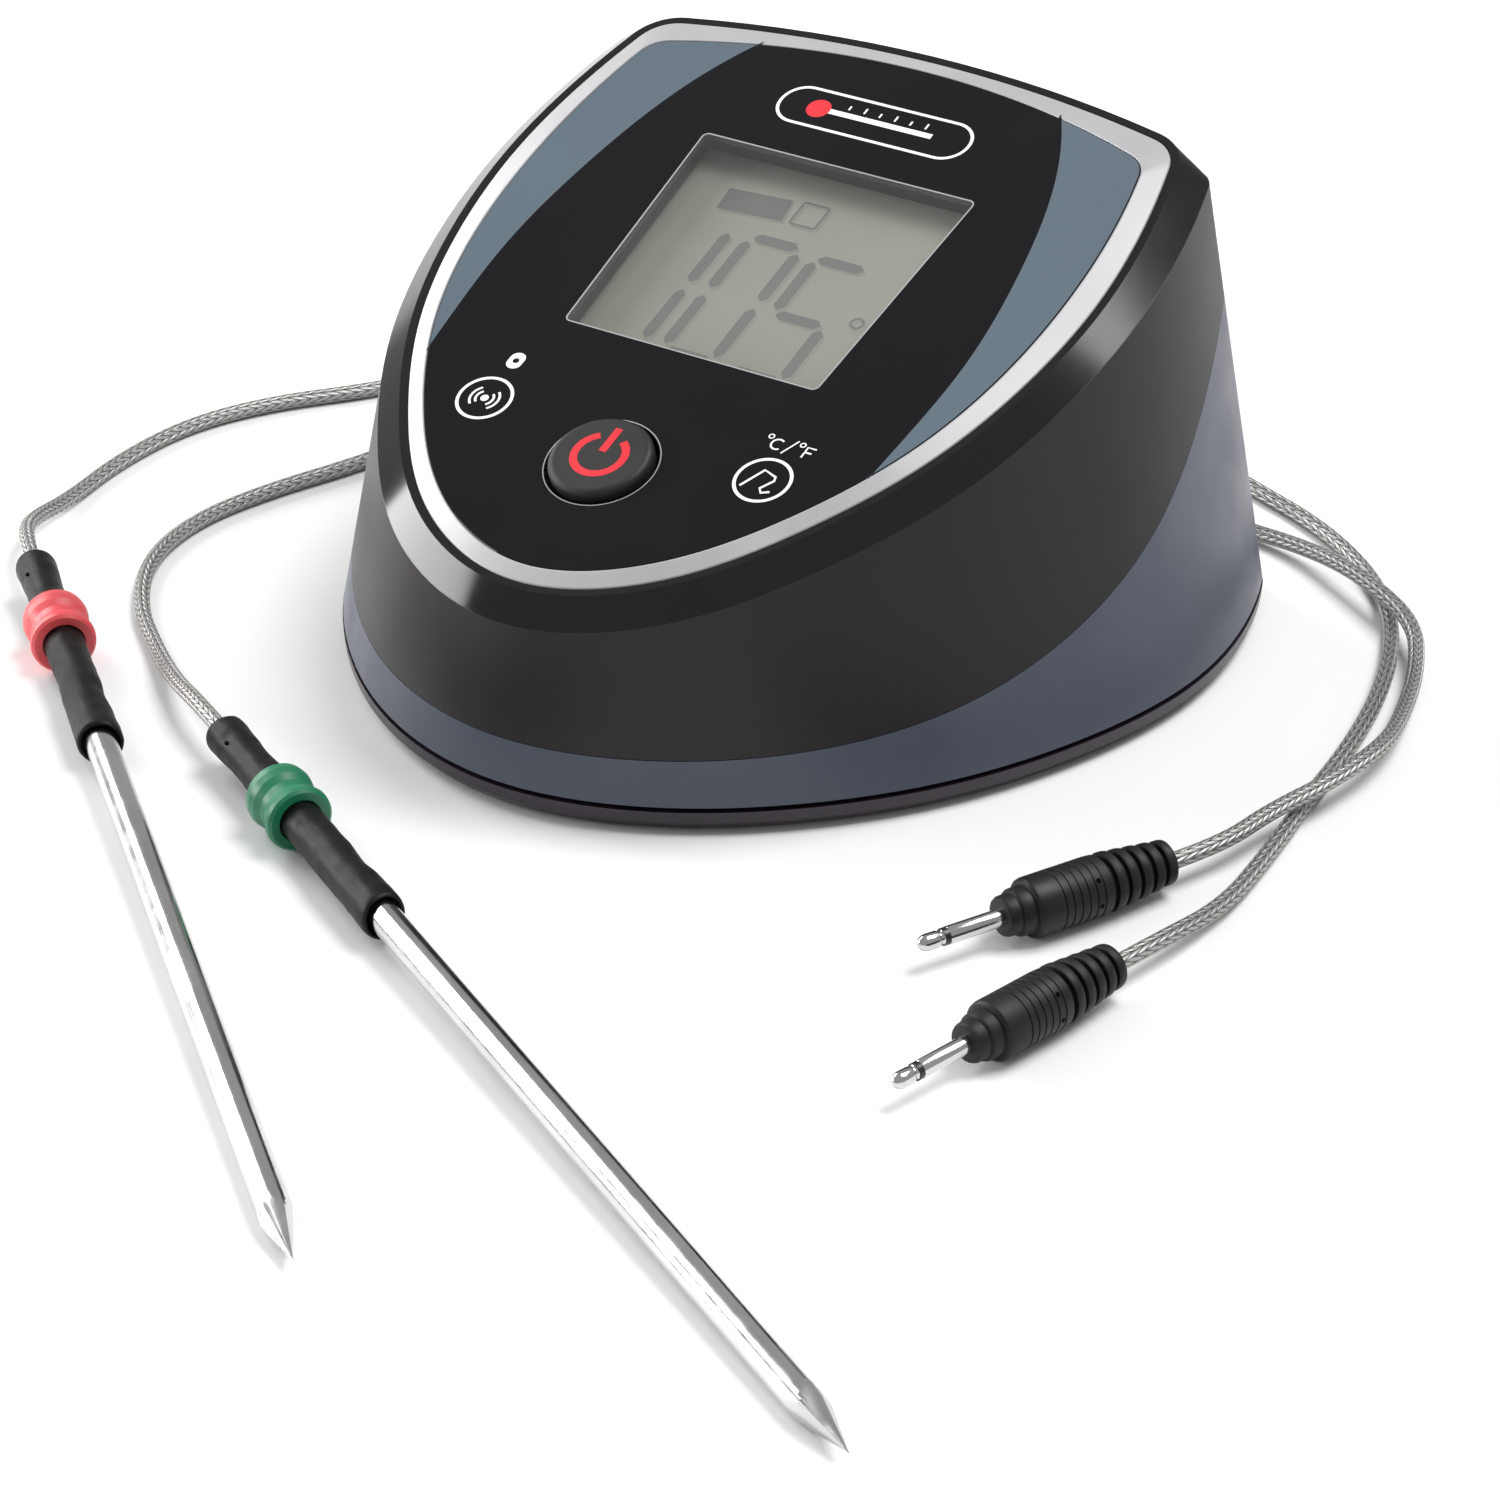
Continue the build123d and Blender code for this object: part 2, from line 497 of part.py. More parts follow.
save("battery_tray", battery_tray())
for name, z, flip in (("lower", CELL_ZS[0], 1), ("upper", CELL_ZS[1], -1)):
    save(f"battery_cell_{name}", battery_cell(z, flip))
plates, springs = [], []
for flip, z in ((1, CELL_ZS[0]), (-1, CELL_ZS[1])):
    positive, negative = flip * 28.3, -flip * 28.3
    for x in (positive, negative):
        plates.append(box((x - 0.2, x + 0.2), (CELL_Y - 5, CELL_Y + 5), (z - 5, z + 5)))
    inner, far = -flip * (CELL_LENGTH / 2 + 0.9), -flip * 28.1
    cone = rod((inner, CELL_Y, z), (far, CELL_Y, z), 3.4) - rod((inner, CELL_Y, z), (far, CELL_Y, z), 2.7)
    springs.append(cone)
save("battery_contacts", Compound(children=plates))
save("battery_springs", Compound(children=springs))
save("battery_door", battery_door())

for name, side in (("left", -1), ("right", 1)):
    save(f"jack_socket_{name}", jack_socket(side * SOCKET_X))
board_hole = rod((SOCKET_X + 9, 30, SOCKET_Z), (SOCKET_X + 9, 35, SOCKET_Z), 1.3)
socket_board = box((-24.5, 24.5), (31.4, 33.0), (42.4, 51.4)) - board_hole - mirror(board_hole, Plane.YZ)
save("socket_board", socket_board)
screws = []
for side in (-1, 1):
    seat = Plane(origin=(side * (SOCKET_X + 9), 30.3, SOCKET_Z), x_dir=(1, 0, 0), z_dir=(0, 1, 0))
    screws.append(seat * screw(5.0, 0.9, 1.9, 1.1))
save("socket_screws", Compound(children=screws))


def lead(points, radius):
    path = FilletPolyline(*points, radius=3.0)
    start = Plane(origin=points[0], z_dir=Vector(*points[1]) - Vector(*points[0]))
    return sweep(start * Circle(radius), path=path)


leads = []
for x in (-9, -6, 6, 9):
    end = on_face(x * 0.6, 12, BOARD_BOTTOM)
    leads.append(lead([(x, 31.4, 48.0), (x, 24.0, 46.0), tuple(end)], 0.45))
save("socket_leads", Compound(children=leads))
leads = []
for side in (-1, 1):
    end = on_face(side * 33.0, -2, BOARD_BOTTOM)
    route = [(side * 28.6, 34.8, 26.1), (side * 36.0, 34.8, 26.1), (end.X, 10.0, 38.0), tuple(end)]
    leads.append(lead(route, 0.6))
save("battery_leads", Compound(children=leads))

build_set("red", RED_COIL, 200, RED_TO_COIL, RED_TO_PLUG)
build_set("green", GREEN_COIL, 60, GREEN_TO_COIL, GREEN_TO_PLUG)
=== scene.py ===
"""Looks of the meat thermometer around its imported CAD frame. Metres, +Z up, the housing's front faces -Y."""

import math

import bmesh
import bpy
import numpy as np
from mathutils import Matrix, Vector, geometry


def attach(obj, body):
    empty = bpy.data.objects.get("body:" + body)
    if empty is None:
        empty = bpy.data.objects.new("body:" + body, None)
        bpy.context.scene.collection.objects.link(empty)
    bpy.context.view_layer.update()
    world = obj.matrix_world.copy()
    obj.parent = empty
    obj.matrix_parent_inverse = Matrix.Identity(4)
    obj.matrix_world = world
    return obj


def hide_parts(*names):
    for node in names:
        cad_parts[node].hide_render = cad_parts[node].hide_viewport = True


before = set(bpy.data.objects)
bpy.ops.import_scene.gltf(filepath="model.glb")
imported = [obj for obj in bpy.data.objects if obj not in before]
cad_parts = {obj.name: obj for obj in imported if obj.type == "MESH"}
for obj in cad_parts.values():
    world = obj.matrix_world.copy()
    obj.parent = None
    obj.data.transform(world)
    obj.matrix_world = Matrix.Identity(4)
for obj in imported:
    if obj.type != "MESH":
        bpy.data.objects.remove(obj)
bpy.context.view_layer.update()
MM = 0.001
SLOPE = math.radians(20.4)  # how far the face tilts back
SLOPE_SIN, SLOPE_COS = math.sin(SLOPE), math.cos(SLOPE)
FACE_HEIGHT = 56.66  # the face plane above the floor, over the origin, in mm

# ---- camera ---------------------------------------------------------------------------------------
AZIMUTH, ELEVATION, DISTANCE = math.radians(33.36), math.radians(29.80), 735.9 * MM
TARGET = Vector((3.667, -9.474, -17.340)) * MM
level = math.cos(ELEVATION)
towards = Vector((math.sin(AZIMUTH) * level, -math.cos(AZIMUTH) * level, math.sin(ELEVATION)))
camera = bpy.data.objects.new("camera", bpy.data.cameras.new("camera"))
camera.data.lens, camera.data.sensor_width = 120, 36
camera.data.clip_start, camera.data.clip_end = 0.05, 20
camera.location = TARGET + towards * DISTANCE
camera.rotation_mode = "QUATERNION"
camera.rotation_quaternion = (-towards).to_track_quat("-Z", "Y")
bpy.context.collection.objects.link(camera)
bpy.context.scene.camera = camera
bpy.context.scene.view_settings.view_transform = "Standard"


# ---- materials ------------------------------------------------------------------------------------
def node(tree, kind, inputs=None, **props):
    """A shader node; an input is given as a value or as the socket that feeds it."""
    made = tree.nodes.new("ShaderNode" + kind)
    for key, value in props.items():
        setattr(made, key, value)
    for key, value in (inputs or {}).items():
        if isinstance(value, bpy.types.NodeSocket):
            tree.links.new(value, made.inputs[key])
        else:
            made.inputs[key].default_value = value
    return made


def rgba(colour):
    return (*colour, 1.0)


def material(name, **fixed):
    """A Principled material; returns it with its tree, shader and object coordinates."""
    made = bpy.data.materials.new(name)
    made.use_nodes = True
    tree = made.node_tree
    shader = tree.nodes["Principled BSDF"]
    for key, value in fixed.items():
        shader.inputs[key.replace("_", " ")].default_value = value
    return made, tree, shader, node(tree, "TexCoord").outputs["Object"]


def noise(tree, coords, size, detail=3.0, rough=0.5, distortion=0.0):
    """Noise whose features are about size metres wide."""
    inputs = {"Vector": coords, "Scale": 1.0 / size, "Detail": detail, "Roughness": rough,
              "Distortion": distortion}
    return node(tree, "TexNoise", inputs).outputs["Fac"]


def ramp(tree, fac, low, high, start=0.35, end=0.65):
    """Maps fac from start..end to the values or colours low..high."""
    if isinstance(low, (int, float)):
        inputs = {"Value": fac, "From Min": start, "From Max": end, "To Min": low, "To Max": high}
        return node(tree, "MapRange", inputs).outputs["Result"]
    made = node(tree, "ValToRGB", {"Fac": fac})
    made.color_ramp.elements[0].position, made.color_ramp.elements[0].color = start, rgba(low)
    made.color_ramp.elements[1].position, made.color_ramp.elements[1].color = end, rgba(high)
    return made.outputs["Color"]


def bump(tree, height, distance, strength=1.0, normal=None):
    inputs = {"Height": height, "Distance": distance, "Strength": strength}
    if normal is not None:
        inputs["Normal"] = normal
    return node(tree, "Bump", inputs).outputs["Normal"]


def math_node(tree, operation, a, b=0.0):
    made = node(tree, "Math", operation=operation)
    for index, value in enumerate((a, b)):
        if isinstance(value, bpy.types.NodeSocket):
            tree.links.new(value, made.inputs[index])
        else:
            made.inputs[index].default_value = value
    return made.outputs[0]


def plain(name, colour, rough, spread=0.12, grain=0.0006, relief=0.000004, patch=0.03, **fixed):
    """Moulded or painted surface: soft colour patches, uneven gloss, fine surface texture."""
    made, tree, shader, at = material(name, **fixed)
    dark = tuple(c * (1 - spread) for c in colour)
    light = tuple(c * (1 + spread) for c in colour)
    tree.links.new(ramp(tree, noise(tree, at, patch), dark, light), shader.inputs["Base Color"])
    uneven = ramp(tree, noise(tree, at, patch * 0.4), rough * 0.85, rough * 1.15)
    tree.links.new(uneven, shader.inputs["Roughness"])
    tree.links.new(bump(tree, noise(tree, at, grain), relief), shader.inputs["Normal"])
    return made


def shell_gloss():
    """Near-black front cover: polished lip and bevel round the face, satin walls below them."""
    made, tree, shader, at = material("shell_gloss", Specular_IOR_Level=0.34)
    colour = ramp(tree, noise(tree, at, 0.05), (0.0078, 0.0060, 0.0074), (0.0102, 0.0082, 0.0098))
    tree.links.new(colour, shader.inputs["Base Color"])
    parts = node(tree, "SeparateXYZ", {"Vector": at}).outputs
    down = math_node(tree, "MULTIPLY", parts["Y"], -SLOPE_SIN)
    up = math_node(tree, "MULTIPLY", math_node(tree, "SUBTRACT", parts["Z"], FACE_HEIGHT * MM), SLOPE_COS)
    height = math_node(tree, "ADD", down, up)
    uneven = ramp(tree, noise(tree, at, 0.02), -0.02, 0.02)
    rough = math_node(tree, "ADD", ramp(tree, height, 0.40, 0.11, -0.00365, -0.00345), uneven)
    tree.links.new(rough, shader.inputs["Roughness"])
    tree.links.new(bump(tree, noise(tree, at, 0.003), 0.000002), shader.inputs["Normal"])
    return made


SHELL_GLOSS = shell_gloss()
SHELL_SATIN = plain("shell_satin", (0.050, 0.060, 0.088), 0.36, spread=0.06, grain=0.0004, relief=0.000008)
BASE_SATIN = plain("base_satin", (0.019, 0.012, 0.021), 0.32, grain=0.0004, relief=0.000006)
MAT_RUBBER = plain("mat_rubber", (0.02, 0.02, 0.02), 0.8, grain=0.0003, relief=0.00002)
STEEL_SCREW = plain("steel_screw", (0.5, 0.5, 0.5), 0.35, Metallic=1.0)
SILVER = plain("silver", (0.44, 0.44, 0.45), 0.36, spread=0.03, grain=0.0002, relief=0.000003, Metallic=0.3)
LENS_BLACK = plain("lens_black", (0.006, 0.0055, 0.007), 0.08, grain=0.004, relief=0.0000006,
                   Specular_IOR_Level=0.2)
BUTTON_RUBBER = plain("button_rubber", (0.012, 0.0115, 0.012), 0.5, grain=0.0003, relief=0.00001,
                      Specular_IOR_Level=0.35)
INNER = plain("inner_plastic", (0.05, 0.05, 0.052), 0.6)
BOARD = plain("board", (0.01, 0.10, 0.03), 0.35)
CHIP = plain("chip", (0.01, 0.01, 0.01), 0.5)
CELL = plain("cell", (0.04, 0.04, 0.05), 0.25, Metallic=0.6)
LEAD = plain("lead", (0.35, 0.02, 0.02), 0.4)
SOCKET = plain("socket", (0.012, 0.012, 0.012), 0.35)
BEAD = plain("bead", (0.25, 0.2, 0.15), 0.6)
SLEEVE = plain("sleeve", (0.0042, 0.0044, 0.0040), 0.5, grain=0.0012, relief=0.00005,
               Specular_IOR_Level=0.17)
TIE = plain("tie", (0.012, 0.012, 0.012), 0.7)
BOOT = plain("boot", (0.0085, 0.0065, 0.0078), 0.5, grain=0.0003, relief=0.00001, Specular_IOR_Level=0.3)
INSULATOR = plain("insulator", (0.01, 0.01, 0.01), 0.3)
RING_RED = plain("ring_red", (0.62, 0.065, 0.075), 0.42, grain=0.0005, relief=0.00001,
                 Subsurface_Weight=0.03)
RING_GREEN = plain("ring_green", (0.006, 0.16, 0.075), 0.42, grain=0.0005, relief=0.00001,
                   Subsurface_Weight=0.03)

SLATE = plain("slate_print", (0.085, 0.116, 0.146), 0.16, spread=0.05, grain=0.004, relief=0.0000006,
              patch=0.06)
PRINT_WHITE = plain("print_white", (0.80, 0.80, 0.80), 0.3, spread=0.03)
# grey for the seam round the button, and for the painted highlight on the window's bevelled edge
SEAM_GREY_AND_PAINTED_HIGHLIGHT = plain("seam_grey_and_painted_highlight", (0.35, 0.35, 0.36), 0.25, spread=0.05)
PRINT_RED = plain("print_red", (0.62, 0.018, 0.03), 0.4, spread=0.06)
LCD_PANEL = plain("lcd_panel", (0.205, 0.215, 0.178), 0.35, spread=0.07, patch=0.05)
LCD_SHADE = plain("lcd_shade", (0.176, 0.184, 0.155), 0.4, spread=0.05)
LCD_INK = plain("lcd_ink", (0.112, 0.117, 0.107), 0.4, spread=0.05)
# painted shade: near black for the shaded inside of small holes, put on flat discs
HOLE_SHADE_PAINT = plain("hole_shade_paint", (0.002, 0.002, 0.002), 0.9, Specular_IOR_Level=0.05)
PANE = plain("window_pane", (0.6, 0.6, 0.6), 0.06, spread=0.03, relief=0.0, Alpha=0.06)


def polished_steel(name, rough=0.16):
    """Ground and polished stainless: very fine lines round the rod, faint smudges."""
    made, tree, shader, at = material(name, Metallic=1.0)
    colour = ramp(tree, noise(tree, at, 0.012), (0.56, 0.55, 0.54), (0.66, 0.65, 0.64))
    tree.links.new(colour, shader.inputs["Base Color"])
    smudges = ramp(tree, noise(tree, at, 0.004, 5), rough * 0.8, rough * 1.3)
    tree.links.new(smudges, shader.inputs["Roughness"])
    tree.links.new(bump(tree, noise(tree, at, 0.0003, 2), 0.0000008), shader.inputs["Normal"])
    return made


NEEDLE = polished_steel("needle_steel")
JACK = polished_steel("jack_steel", 0.14)


def braid(name, length):
    """Round braid of fine stainless wire: two families of strands that cross over and under."""
    made, tree, shader, _ = material(name, Metallic=0.85)
    uv = node(tree, "TexCoord").outputs["UV"]
    parts = node(tree, "SeparateXYZ", {"Vector": uv}).outputs
    along, around = parts["X"], parts["Y"]

    def sine(fac):
        return math_node(tree, "ABSOLUTE", math_node(tree, "SINE", fac))

    columns, repeat, wires_per_strand = 10.0, 0.00092, 4.0
    column = math_node(tree, "MULTIPLY", around, columns)
    zigzag = math_node(tree, "MULTIPLY", math_node(tree, "PINGPONG", column, 1.0), 1.1)
    steps = math_node(tree, "MULTIPLY", along, length / repeat)
    phase = math_node(tree, "MULTIPLY", math_node(tree, "ADD", steps, zigzag), math.pi)
    strand = math_node(tree, "POWER", sine(phase), 0.55)
    wires = sine(math_node(tree, "MULTIPLY", phase, wires_per_strand))
    seam = math_node(tree, "POWER", sine(math_node(tree, "MULTIPLY", column, math.pi)), 0.35)
    fibres = math_node(tree, "ADD", strand, math_node(tree, "MULTIPLY", wires, 0.22))
    woven = math_node(tree, "MULTIPLY", fibres, seam)
    colour = ramp(tree, woven, (0.035, 0.034, 0.031), (0.50, 0.49, 0.47), 0.15, 1.0)
    tree.links.new(colour, shader.inputs["Base Color"])
    tree.links.new(ramp(tree, woven, 0.6, 0.26, 0.1, 1.1), shader.inputs["Roughness"])
    tree.links.new(bump(tree, woven, 0.00016), shader.inputs["Normal"])
    return made


# ---- cords ----------------------------------------------------------------------------------------
# Sizes in mm. LIE and HUMP are the height of a cable's middle on the floor and over another cable.
CABLE_D, CABLE_LENGTH = 2.4, 0.95  # in mm and in m
LIE, HUMP = CABLE_D / 2, 4.3
EXIT_RUN, BOOT_R, CABLE_SINK = 9.0, 4.2, 0.3
NEEDLE_R, NEEDLE_VISIBLE, TIP_LENGTH = 2.25, 125.0, 11.0
HANDLE_LENGTH, RING_R = 54.0, 4.8
HANDLE_END = NEEDLE_VISIBLE + HANDLE_LENGTH
# tip, direction to the handle, distance from the tip to the ring
PROBES = {"red": ((44.2, -169.2), (-122.4, 102.3), 158.8),
          "green": ((118.6, -163.9), (-137.0, 74.6), 156.8)}
# cable end of the boot, direction to the plug's tip
PLUGS = {"red": ((93.9, -61.8), (-0.223, -0.975)), "green": ((87.2, -35.2), (-0.417, -0.909))}
# middle, first angle, sense, turns
COILS = {"red": ((-62.0, 82.0), 180.0, -1, 6.25), "green": ((-20.0, 74.5), -90.0, 1, 6.0)}
RED_TO_COIL = [(-105.4, -41.6, 3.6), (-108.0, -30.0, LIE), (-110.2, -15.0, LIE), (-109.2, 1.0, LIE),
               (-103.0, 14.5, LIE), (-93.0, 26.5, LIE), (-84.0, 41.0, LIE), (-79.5, 59.0, 1.6)]
RED_TO_PLUG = [(-40.0, 98.5, 1.8), (-18.0, 98.5, LIE), (3.0, 93.0, LIE), (21.0, 82.5, LIE),
               (39.4, 74.6, LIE), (57.0, 67.6, LIE), (71.5, 56.8, LIE), (81.2, 43.5, LIE), (87.2, 28.0, LIE),
               (91.0, 11.0, LIE), (93.0, -6.0, LIE), (95.4, -22.0, LIE), (97.2, -37.5, 1.6)]
GREEN_TO_COIL = [(-55.0, -68.6, 3.6), (-66.0, -59.6, LIE), (-77.0, -50.5, LIE), (-85.4, -38.0, LIE),
                 (-87.6, -24.0, LIE), (-84.4, -10.0, LIE), (-78.4, 5.0, LIE), (-74.2, 21.0, LIE),
                 (-70.0, 38.0, LIE), (-58.5, 53.0, LIE), (-40.0, 57.4, 1.6)]
GREEN_TO_PLUG = [(0.0, 60.0, 2.6), (22.0, 63.0, LIE), (45.0, 61.0, LIE), (58.0, 58.6, 2.4),
                 (70.0, 52.5, HUMP), (84.2, 43.6, HUMP), (89.6, 34.0, 1.9), (93.4, 22.0, 1.7),
                 (97.2, 9.0, HUMP), (95.8, -4.0, HUMP), (92.6, -16.0, HUMP)]
COIL_OUTER, COIL_STEP, COIL_LOW, COIL_HIGH, TURN_POINTS = 17.75, 2.5, 2.05, 4.55, 16
LAYER_TURNS, CLIMB_END = 3.0, 3.25  # turns in the lower layer, and where the climb to the upper one ends


def unit(x, y):
    """The direction of (x, y), one long."""
    size = math.hypot(x, y)
    return x / size, y / size


def probe_frame(colour):
    """The probe's own frame: X from its tip to the handle, Z nearly up."""
    (x, y), (dx, dy), ring_at = PROBES[colour][0], unit(*PROBES[colour][1]), PROBES[colour][2]
    rise = (RING_R - NEEDLE_R) / (ring_at - TIP_LENGTH)
    flat = math.sqrt(1 - rise**2)
    along = Vector((dx * flat, dy * flat, rise))
    up = Vector((-dx * rise, -dy * rise, flat))
    side = up.cross(along)
    rotation = Matrix((along, side, up)).transposed().to_4x4()
    return Matrix.Translation(Vector((x, y, NEEDLE_R - TIP_LENGTH * rise)) * MM) @ rotation


def plug_frame(colour):
    """The plug's own frame: X from the cable end of its boot to its tip."""
    (x, y), (dx, dy) = PLUGS[colour][0], unit(*PLUGS[colour][1])
    rotation = Matrix(((dx, -dy, 0), (dy, dx, 0), (0, 0, 1))).to_4x4()
    return Matrix.Translation(Vector((x, y, BOOT_R)) * MM) @ rotation


def turns(centre, start, sense, count):
    """A neat two-layer coil: in along the lower layer, out along the upper one."""
    made = []
    for i in range(round(count * TURN_POINTS) + 1):
        turn = i / TURN_POINTS
        if turn < LAYER_TURNS:
            radius, height = COIL_OUTER - COIL_STEP * turn, COIL_LOW
        else:
            radius = COIL_OUTER - COIL_STEP * LAYER_TURNS + COIL_STEP * max(0.0, turn - CLIMB_END)
            climbed = min(1.0, (turn - LAYER_TURNS) / (CLIMB_END - LAYER_TURNS))
            height = COIL_LOW + (COIL_HIGH - COIL_LOW) * climbed
        angle = math.radians(start) + sense * 2 * math.pi * turn
        made.append((centre[0] + radius * math.cos(angle), centre[1] + radius * math.sin(angle), height))
    return made


def cord(colour, to_coil, to_plug):
    """A probe's cable: handle, coil behind the housing, plug; everything at its ends rides with it."""
    rear = probe_frame(colour) @ Vector((HANDLE_END * MM, 0, 0)) / MM
    leave = probe_frame(colour) @ Vector(((HANDLE_END + EXIT_RUN) * MM, 0, 0)) / MM
    (x, y), (dx, dy) = PLUGS[colour][0], unit(*PLUGS[colour][1])
    low = BOOT_R - CABLE_SINK
    end = [(x - dx * EXIT_RUN, y - dy * EXIT_RUN, low), (x, y, low)]
    route = [tuple(rear), tuple(leave)] + to_coil + turns(*COILS[colour]) + to_plug + end
    curve = bpy.data.curves.new(f"{colour}_cable", "CURVE")
    curve.dimensions = "3D"
    spline = curve.splines.new("NURBS")
    spline.points.add(len(route) - 1)
    for point, place in zip(spline.points, route):
        point.co = (*(Vector(place) * MM), 1.0)
    spline.order_u = 3
    spline.use_endpoint_u = True
    spline.resolution_u = 12
    curve.bevel_depth = CABLE_D / 2 * MM
    curve.bevel_resolution = 6
    made = bpy.data.objects.new(f"{colour}_cable", curve)
    bpy.context.collection.objects.link(made)
    curve.materials.append(braid(f"{colour}_braid", CABLE_LENGTH))
    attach(made, f"{colour}_probe")
    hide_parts(f"{colour}_cable_to_coil", f"{colour}_cable_coil", f"{colour}_cable_to_plug")
    return made


# ---- face: outlines in its own plane (u to the right, v up the slope), in mm -----------------------
# right side of the border's outer and inner edge, from the nose to the rear corner
FACE_SIDE = [(0, -66.4), (20.5, -58.3), (33, -44), (42.3, -27.4), (47.8, -8.2), (49.3, 8), (48.3, 22),
             (44.2, 40.9)]
INNER_SIDE = [(0, -63.9), (18.6, -56.4), (30.9, -42.7), (39.7, -26.7), (44.5, -8.4), (45.6, 8), (44.7, 22),
              (42, 36)]
FACE_REAR, FACE_CORNER, INNER_REAR, INNER_CORNER = 46.0, 6.5, 43.1, 5.0
# right edge of the black field, where the crescent begins
FIELD_SIDE = [(37.0, -33.0), (37.6, -26.0), (38.4, -10.0), (36.3, 10.0), (32.0, 27.5), (25.4, 41.3)]
TRIM_RISE, TRIM_FALL = 0.45, -0.35  # the border's inner and outer edge against the face plane
WINDOW = ((-21.0, -20.55), (21.0, -20.55), (22.9, 20.55), (-22.9, 20.55))
BUTTON_V, BUTTON_TOP, KEY_HOLE_R = -43.4, 2.0, 8.0
LEFT_PAD, RIGHT_PAD, PAD_R = (-23.2, -38.4), (23.3, -38.4), 4.0
# heights above the face plane
LENS_TOP, FACE_BOTTOM, GLASS_TOP = TRIM_RISE, -1.9, -3.75
PRINT_TOP, PRINT_BOTTOM, FIELD_BOTTOM = LENS_TOP + 0.012, LENS_TOP - 0.08, LENS_TOP - 0.1


def on_face(u, v, height=0.0):
    """The place of a point on the face, or height above it."""
    y, z = v * SLOPE_COS - height * SLOPE_SIN, FACE_HEIGHT + v * SLOPE_SIN + height * SLOPE_COS
    return Vector((u, y, z)) * MM


def spline_through(points):
    """A smooth curve through the points: its chord lengths, and a function from length to (u, v)."""
    points = np.array(points, float)
    count = len(points)
    at = np.r_[0, np.cumsum(np.hypot(*np.diff(points, axis=0).T))]
    step = np.diff(at)
    slope = np.diff(points, axis=0) / step[:, None]
    rows, sides = np.eye(count), np.zeros((count, 2))
    for axis in (0, 1):
        for row, picked in ((0, slice(0, 4)), (count - 1, slice(count - 4, count))):
            cubic = np.polyfit(at[picked], points[picked, axis], 3)
            sides[row, axis] = np.polyval(np.polyder(cubic), at[row])
    for i in range(1, count - 1):
        rows[i, i - 1:i + 2] = step[i], 2 * (step[i - 1] + step[i]), step[i - 1]
        sides[i] = 3 * (step[i] * slope[i - 1] + step[i - 1] * slope[i])
    lean = np.linalg.solve(rows, sides)

    def place(t):
        t = np.atleast_1d(t)
        i = np.clip(np.searchsorted(at, t, side="right") - 1, 0, count - 2)
        s, h = ((t - at[i]) / step[i])[:, None], step[i][:, None]
        start = (2 * s**3 - 3 * s**2 + 1) * points[i] + (s**3 - 2 * s**2 + s) * h * lean[i]
        return start + (3 * s**2 - 2 * s**3) * points[i + 1] + (s**3 - s**2) * h * lean[i + 1]

    return at, place


def shield(side, rear, corner):
    """A shield outline, anticlockwise from the nose: side, rounded corner, bowed rear edge."""
    points = [(-x, y) for x, y in reversed(side[1:])] + list(side)
    at, place = spline_through(points)
    half_width, drop = side[-1][0], rear - side[-1][1]
    radius = (half_width**2 + drop**2) / (2 * drop)
    centre = np.array((0, rear - radius))
    t = np.linspace(at[-1] * 0.55, at[-1], 3000)
    spots = place(t)
    ahead = np.gradient(spots, axis=0)
    ahead /= np.hypot(*ahead.T)[:, None]
    normal = np.c_[ahead[:, 1], -ahead[:, 0]]
    middles = spots - normal * corner  # where the rounded corner could have its centre
    best = np.argmin(np.abs(np.hypot(*(middles - centre).T) - (radius - corner)))
    middle = middles[best]
    first = math.atan2(normal[best, 1], normal[best, 0])
    last = math.atan2(*(middle - centre)[::-1])
    straight = place(np.linspace(at[-1] / 2, t[best], 110))
    bend = arc(*middle, corner, *np.degrees((first, last)), 18)
    back = arc(*centre, radius, *np.degrees((last, math.pi / 2)), 40)
    right = np.vstack([straight, bend[1:], back[1:]])
    return np.vstack([right, (right[::-1] * (-1, 1))[1:-1]])


def inset(loop, amount):
    """The loop moved inwards by amount."""
    loop = np.array(loop, float)
    ahead = np.roll(loop, -1, axis=0) - np.roll(loop, 1, axis=0)
    ahead /= np.hypot(*ahead.T)[:, None]
    return loop - np.c_[ahead[:, 1], -ahead[:, 0]] * amount


def rounded(corners, radius, steps=8):
    """A polygon with rounded corners, anticlockwise."""
    made, count = [], len(corners)
    for i in range(count):
        a, b, c = (np.array(corners[(i + k) % count], float) for k in (-1, 0, 1))
        before, after = (a - b) / np.linalg.norm(a - b), (c - b) / np.linalg.norm(c - b)
        half = math.acos(max(-1, min(1, before @ after))) / 2
        middle = b + (before + after) / np.linalg.norm(before + after) * radius / math.sin(half)
        start, end = b + before * radius / math.tan(half), b + after * radius / math.tan(half)
        low, high = math.atan2(*(start - middle)[::-1]), math.atan2(*(end - middle)[::-1])
        high += 2 * math.pi if high < low else 0
        for k in range(steps + 1):
            angle = low + (high - low) * k / steps
            made.append(middle + radius * np.array((math.cos(angle), math.sin(angle))))
    return np.array(made)


def circle(u, v, radius, count=72):
    angles = [2 * math.pi * k / count for k in range(count)]
    return np.array([(u + radius * math.cos(angle), v + radius * math.sin(angle)) for angle in angles])


def make(name, vertices, faces, look, slot, smooth=30, ride=None, replaces=()):
    """A mesh object with smooth shading across angles below smooth degrees."""
    mesh = bpy.data.meshes.new(name)
    mesh.from_pydata([tuple(v) for v in vertices], [], faces)
    mesh.validate()
    mesh.update()
    mesh.materials.append(look)
    mesh.shade_smooth()
    mesh.set_sharp_from_angle(angle=math.radians(smooth))
    made = bpy.data.objects.new(name, mesh)
    bpy.context.collection.objects.link(made)
    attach(made, ride or "housing")
    if replaces:
        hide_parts(*replaces)
    return made


